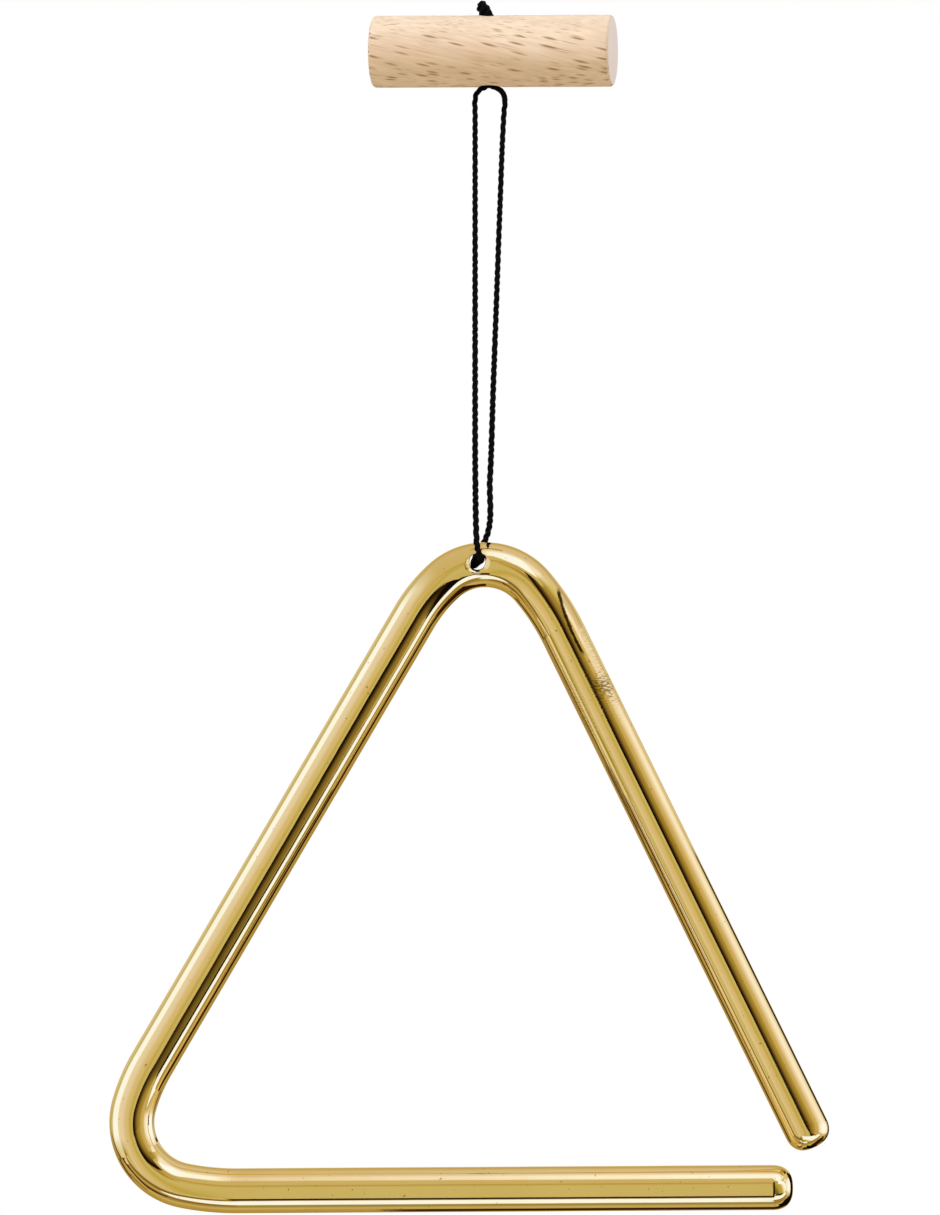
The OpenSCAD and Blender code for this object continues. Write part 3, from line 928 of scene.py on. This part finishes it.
card("wall_over_the_shade", "front", sheet(0, 5, -0.01, 3),
    [(0, 190, 152, 66), (0.12, 176, 138, 54), (0.28, 120, 96, 40), (0.4, 140, 112, 50), (0.6, 180, 152, 66),
     (1.5, 200, 168, 92), (5, 214, 184, 118)], depth=1.04)
card("pale_wall_by_the_window", "front",
    [(0.33, 0.56), (0.45, 0.53), (0.8, 0.61), (1.05, 0.74), (1.3, 1.1), (0.14, 1.1)],
    [(0.5, 190, 160, 90), (0.62, 255, 244, 212), (1.1, 255, 248, 224)], slope=UP, depth=0.985)
card("shade_below_right", "front",
    [(0, -0.02), (0.27, -0.5), (0.3, -1.1), (2, -1.1), (1.6, -0.66), (1.1, -0.45), (0.4, -0.1)],
    [(0, 10, 4, 0), (2, 34, 16, 4)], depth=1.01, fade=[(-0.14, 1), (0.04, 0)], fade_slope=(0.5, 0.86))
card("front_floor", "front", sheet(-5, 5, -3, -0.9),
    [(-3, 34, 18, 3), (-0.92, 46, 28, 6)], slope=UP, depth=0.99)
print("front set")

# %% Set the cards at the sides, above and behind
card("right_wall", "right", sheet(-5, 1.2, -2, 2),
    [(-5, 150, 125, 85), (-1.7, 150, 130, 90), (-1.1, 196, 176, 128), (-0.8, 215, 196, 150),
     (-0.45, 250, 224, 178), (-0.15, 252, 236, 198), (0.05, 246, 222, 176), (0.3, 229, 199, 142),
     (0.6, 204, 172, 95), (1.2, 190, 156, 74)])
card("bright_door", "right", sheet(-0.75, 0.5, -0.3, 0.45),
    [(-0.75, 255, 252, 234), (0, 255, 250, 226), (0.25, 250, 234, 192), (0.5, 229, 199, 142)],
    depth=0.985, fade=[(-0.3, 0), (-0.15, 1), (0.22, 1), (0.45, 0)], fade_slope=UP)
card("dark_doorway", "right", [(-4, -2), (-0.3, -2), (-0.6, -0.3), (-0.85, 0.485), (-4, 0.485)],
    [(-4, 24, 14, 6), (-0.3, 16, 10, 4)], depth=0.97, fade=[(-1.12, 1), (-0.85, 0)], fade_slope=(1, 0.35))
card("cloth_over_the_edge", "right",
    [(0.1, -0.52), (0.58, -0.52), (0.52, -0.44), (0.42, -0.35), (0.28, -0.42)],
    (255, 250, 226), depth=0.975)
card("right_skirting", "right", sheet(-2, 0.6, -0.75, -0.24),
    [(-2, 96, 60, 22), (-1, 150, 110, 50), (-0.4, 204, 170, 92), (0, 218, 188, 108), (0.3, 165, 140, 60),
     (0.6, 170, 146, 66)], depth=0.98, fade=[(-0.75, 1), (-0.42, 1), (-0.24, 0)], fade_slope=UP)
card("left_wall", "left", sheet(-5, 1.2, -2, 2),
    [(-5, 232, 222, 188), (-1.5, 226, 214, 172), (-1.05, 188, 175, 116), (-0.55, 198, 184, 124),
     (-0.4, 228, 208, 158), (0.3, 232, 210, 160), (1.2, 224, 198, 154)])
card("left_window", "left", sheet(-0.46, 0.27, -0.42, 0.85),
    [(-0.46, 250, 236, 196), (-0.3, 255, 248, 226), (0.15, 255, 248, 226), (0.27, 250, 237, 200)],
    depth=0.98, fade=[(-0.42, 0), (-0.18, 1), (0.62, 1), (0.85, 0)], fade_slope=UP)
card("left_skirting", "left", sheet(-1.4, 1, -0.8, -0.25),
    [(-1.4, 150, 112, 60), (-0.5, 178, 148, 76), (-0.1, 226, 200, 132), (0.26, 235, 210, 140),
     (0.36, 156, 129, 38), (0.55, 153, 126, 33), (0.62, 200, 172, 96), (1, 212, 184, 112)],
    depth=0.97, fade=[(-0.8, 1), (-0.48, 1), (-0.25, 0)], fade_slope=UP)
# A dark card for the shadow on the lower part of the left wall: painted shade in the reflected room.
card("left_cupboard", "left",
    [(-0.95, -0.14), (-0.7, -0.22), (-0.36, -0.46), (-0.12, -0.8), (-0.3, -0.8), (-0.5, -0.56),
     (-0.86, -0.28)],
    [(-1, 110, 80, 30), (-0.12, 84, 50, 12)], depth=0.965)
card("ceiling", "top", sheet(-1.2, 2, -2, 2.05),
    [(-2, 186, 160, 106), (-0.7, 205, 175, 108), (-0.2, 208, 178, 112), (0.3, 206, 176, 104),
     (2.05, 203, 172, 94)], slope=UP, depth=0.5, fade=[(-1.2, 0), (-0.85, 1)])
card("sky_panel", "top", [(-0.09, -1.2), (2, -1.2), (2, 0.95), (0.02, 0.9), (-0.02, 0.84), (-0.09, 0.8)],
    [(-1.2, 190, 164, 112), (-0.7, 210, 180, 114), (-0.49, 216, 188, 132), (0, 220, 192, 138),
     (0.18, 232, 208, 162), (0.35, 250, 226, 178), (0.95, 253, 230, 182)],
    slope=UP, depth=0.49, fade=[(-0.09, 0), (-0.03, 0.62), (0.02, 1)])
card("high_window", "top",
    [(-0.09, 0.2), (-0.09, 0.72), (0, 0.74), (0.06, 0.8), (0.14, 0.99), (0.25, 1.22), (0.4, 1.45), (0.7, 1.5),
     (1.05, 1.2), (0.75, 0.68), (0.5, 0.2)],
    [(-0.05, 236, 208, 160), (0, 250, 230, 186), (0.045, 255, 246, 212), (0.3, 255, 251, 232)],
    depth=0.48, fade=[(0.2, 0), (0.42, 1)], fade_slope=UP)
card("shade_over_the_shoulder", "top",
    [(1.2, 2.05), (1.2, 1.3), (1.08, 0.95), (1, 0.7), (0.98, 0.3), (1, -0.1), (1.1, -0.45), (1.36, -0.43),
     (1.43, 0.1), (1.5, 0.3), (1.54, 0.85), (1.58, 1.05), (1.64, 1.19), (1.69, 1.55), (1.85, 1.9),
     (1.85, 2.05)],
    [(-0.45, 222, 198, 124), (0.45, 212, 188, 104), (0.75, 198, 172, 82), (1.05, 182, 148, 62),
     (1.4, 168, 134, 50), (2.05, 156, 124, 44)],
    slope=UP, depth=0.475, fade=[(1.03, 0), (1.32, 1)], fade_slope=(1, 0.1))
card("dark_hall", "back", [(0.3, 0), (0.3, 0.1), (0.55, 0.24), (1.3, 0.6), (1.3, 0.45), (0.6, 0.17)],
    [(0, 20, 14, 5), (1.3, 18, 12, 4)], depth=0.96, fade=[(0.3, 0), (0.5, 1)])
card("dark_hall_low", "back", [(0.05, -1.05), (0.3, -0.3), (1.3, -0.92), (1.3, -3), (0.05, -3)],
    [(0, 16, 10, 4), (1.3, 14, 8, 3)], depth=0.96)
card("dark_post_behind_the_end", "right", sheet(-0.256, -0.015, -1.41, -0.835), (14, 8, 3), depth=0.026)
card("dark_post_beside_the_leg", "right", sheet(-0.28, -0.09, -0.82, -0.64), (14, 8, 3), depth=0.0287)
card("dark_post_before_the_end", "front", sheet(6.222, 6.31, -7.6, -6.26),
    [(6.222, 30, 8, 1), (6.31, 34, 14, 2)], depth=0.0036)
card("pale_panel_before_the_end", "front", sheet(6.16, 7.9, -7.09, -6),
    [(2.2, 112, 86, 34), (2.37, 126, 103, 48), (2.42, 149, 127, 43), (2.49, 158, 137, 38),
     (2.56, 174, 151, 48), (2.635, 184, 159, 61), (2.829, 188, 161, 77), (2.94, 209, 182, 95),
     (3.06, 229, 206, 126), (3.19, 241, 222, 166), (3.33, 251, 236, 193), (3.5, 255, 247, 212)],
    slope=(1, 0.58), depth=0.00367)
card("white_edge_before_the_leg", "front", sheet(6.7, 7.8, -6.6, -6.17), (255, 250, 226), depth=0.0035)
card("back_wall", "back", sheet(-3, 3, -2, 2),
    [(-2, 180, 146, 64), (-0.3, 170, 140, 80), (0, 205, 180, 130), (0.35, 226, 206, 166),
     (0.75, 205, 176, 110), (2, 202, 168, 88)], slope=UP)
print("walls set")

# %% Lay the table
card("table", "table", [(-2.1, -2.1), (2.1, -2.1), (2.1, 1.3), (0, 1.04), (-2.1, 0.8)],
    [(-2.1, 178, 143, 62), (-0.45, 184, 150, 70), (-0.32, 200, 168, 90), (-0.15, 200, 168, 90),
     (-0.05, 162, 141, 72), (0.1, 152, 130, 57), (0.19, 164, 143, 78), (0.235, 255, 248, 222),
     (0.66, 255, 248, 222), (0.75, 176, 142, 92), (0.79, 60, 38, 10), (1.05, 44, 26, 5)],
    slope=(-0.11, 1), depth=0.5)
card("white_cloth_right", "table",
    [(0.06, 0.44), (0.06, 0.7), (0.12, 0.92), (0.38, 1.04), (0.97, 0.96), (1.33, 1), (1.69, 1.13),
     (2.1, 1.25), (2.1, 0.44)],
    [(0, 255, 250, 226), (2, 255, 248, 222)], depth=0.495, fade=[(0.06, 0), (0.2, 1)])
card("dark_cloth_right", "table",
    [(0.3, 1.03), (0.38, 1.04), (0.97, 0.96), (1.33, 1), (1.55, 1.07), (1.7, 1.5), (0.5, 1.5), (0.36, 1.2)],
    [(0, 14, 6, 1), (2, 30, 14, 4)], depth=0.494)
card("tan_cloth_right", "table", sheet(0.06, 2.1, 0.12, 0.45),
    [(0.06, 152, 130, 57), (0.3, 158, 120, 44), (2.1, 170, 134, 54)],
    depth=0.493, fade=[(0.06, 0), (0.16, 1)])
card("rug_left", "table",
    [(-0.05, 0.08), (-0.05, 0.2), (-0.5, 0.4), (-0.56, 0.45), (-0.5, 0.5), (-0.05, 0.68), (-0.1, 1.12),
     (-2.1, 1.1), (-2.1, 0.47), (-1.85, 0.45), (-1.85, 0.33), (-2.1, 0.33), (-2.1, 0.04)],
    [(0.1, 130, 86, 14), (0.18, 140, 98, 30), (0.3, 165, 130, 60), (0.4, 200, 164, 84), (0.5, 180, 148, 80),
     (0.66, 118, 86, 14), (0.78, 120, 90, 24), (0.88, 170, 142, 66), (1, 212, 184, 108), (1.3, 206, 180, 104)],
    slope=(-0.11, 1), depth=0.495)
card("pale_rug_left", "table", [(-1.85, -0.08), (-1.6, -0.05), (-1.55, 0.4), (-1.85, 0.46)],
    [(-2.1, 236, 208, 142), (-1.55, 226, 194, 128)], depth=0.485)
card("dark_mat_right", "table",
    [(-0.012, -0.5), (0.25, -0.48), (0.45, -0.2), (0.9, -0.05), (1.35, -0.2), (1.5, -0.46), (2.1, -0.46),
     (2.1, -0.95), (0.5, -1.4), (-0.012, -1.4)],
    [(-1.4, 52, 27, 6), (-0.46, 42, 18, 2)], slope=UP, depth=0.49)
card("dark_mat_left", "table",
    [(-0.4, 0.2), (-0.8, 0.06), (-1.25, 0.12), (-2.1, -0.1), (-2.1, -0.62), (-1.6, -0.35), (-1.2, -0.06),
     (-0.75, -0.14), (-0.42, 0.05)],
    [(-0.6, 70, 38, 10), (0.2, 64, 32, 4)], slope=UP, depth=0.49)
card("dark_edge_left", "table", [(-0.72, -0.4), (-1.25, -0.58), (-1.25, -0.76), (-0.72, -0.52)],
    (84, 44, 4), slope=UP, depth=0.488)
card("dark_mat_back", "table", [(-2.1, -1.3), (-1.2, -1), (-1, -1.5), (-2.1, -2.1)],
    [(-2.1, 70, 40, 12), (0, 60, 34, 10)], slope=UP, depth=0.49)
print("table laid")

# %% [markdown]
# ## Floor, backdrop and light
# The photograph's ground is pure white. A colour of 1 on the rays that the camera, a mirror or
# glass sends out gives that without throwing any more light on the object. The light is soft
# and plain: one broad lamp from above and in front, and the sky for the rest. The floor is pale
# and far below the hanging instrument, and keeps its faint shadow.

# %% Light the set
FLOOR_Z = -0.62
FLOOR_HALF = 8
SHADOW_HIDDEN = 0.8
WHITE_LIGHT = {"Color": (1, 1, 1, 1), "Strength": 1}
LAMP_PLACE = Vector((-0.5, -0.7, 1.2))


def seen_directly(tree):
    """1 on the rays that the camera, a mirror or glass sends out, and 0 on the others."""
    path = add_node(tree, "ShaderNodeLightPath").outputs
    seen = maths(tree, "MAXIMUM", path["Is Camera Ray"], path["Is Glossy Ray"])
    return maths(tree, "MAXIMUM", seen, path["Is Transmission Ray"])


world = bpy.data.worlds.new("studio")
bpy.context.scene.world = world
world.use_nodes = True
tree = world.node_tree
tree.nodes.clear()
sky = result(tree, "ShaderNodeBackground", {"Color": (0.96, 0.98, 1, 1), "Strength": 0.78})
ground = result(tree, "ShaderNodeBackground", WHITE_LIGHT)
both = result(tree, "ShaderNodeMixShader", {0: seen_directly(tree), 1: sky, 2: ground})
add_node(tree, "ShaderNodeOutputWorld", {"Surface": both})

light = bpy.data.lights.new("overhead", "AREA")
light.shape = "DISK"
light.size = 0.9
light.energy = 12
lamp = add_object("overhead", light)
lamp.location = LAMP_PLACE
lamp.rotation_euler = (ROOM_CENTRE - LAMP_PLACE).to_track_quat("-Z", "Y").to_euler()
lamp.visible_glossy = False

floor_mesh = bpy.data.meshes.new("floor")
floor_corners = [(x, y, FLOOR_Z) for x, y in sheet(-FLOOR_HALF, FLOOR_HALF, -FLOOR_HALF, FLOOR_HALF)]
floor_mesh.from_pydata(floor_corners, [], [(0, 1, 2, 3)])
floor = add_object("floor", floor_mesh)
floor_finish, tree, inputs = new_finish("pale_floor", {"Base Color": (0.9, 0.9, 0.9, 1), "Roughness": 0.9})
share = maths(tree, "MULTIPLY", seen_directly(tree), SHADOW_HIDDEN)
white = result(tree, "ShaderNodeEmission", WHITE_LIGHT)
lit = tree.nodes["Principled BSDF"].outputs[0]
both = result(tree, "ShaderNodeMixShader", {0: share, 1: lit, 2: white})
tree.links.new(both, tree.nodes["Material Output"].inputs["Surface"])
floor_mesh.materials.append(floor_finish)
floor.visible_glossy = False
bpy.context.scene.view_settings.view_transform = "Standard"
print("light and floor set")
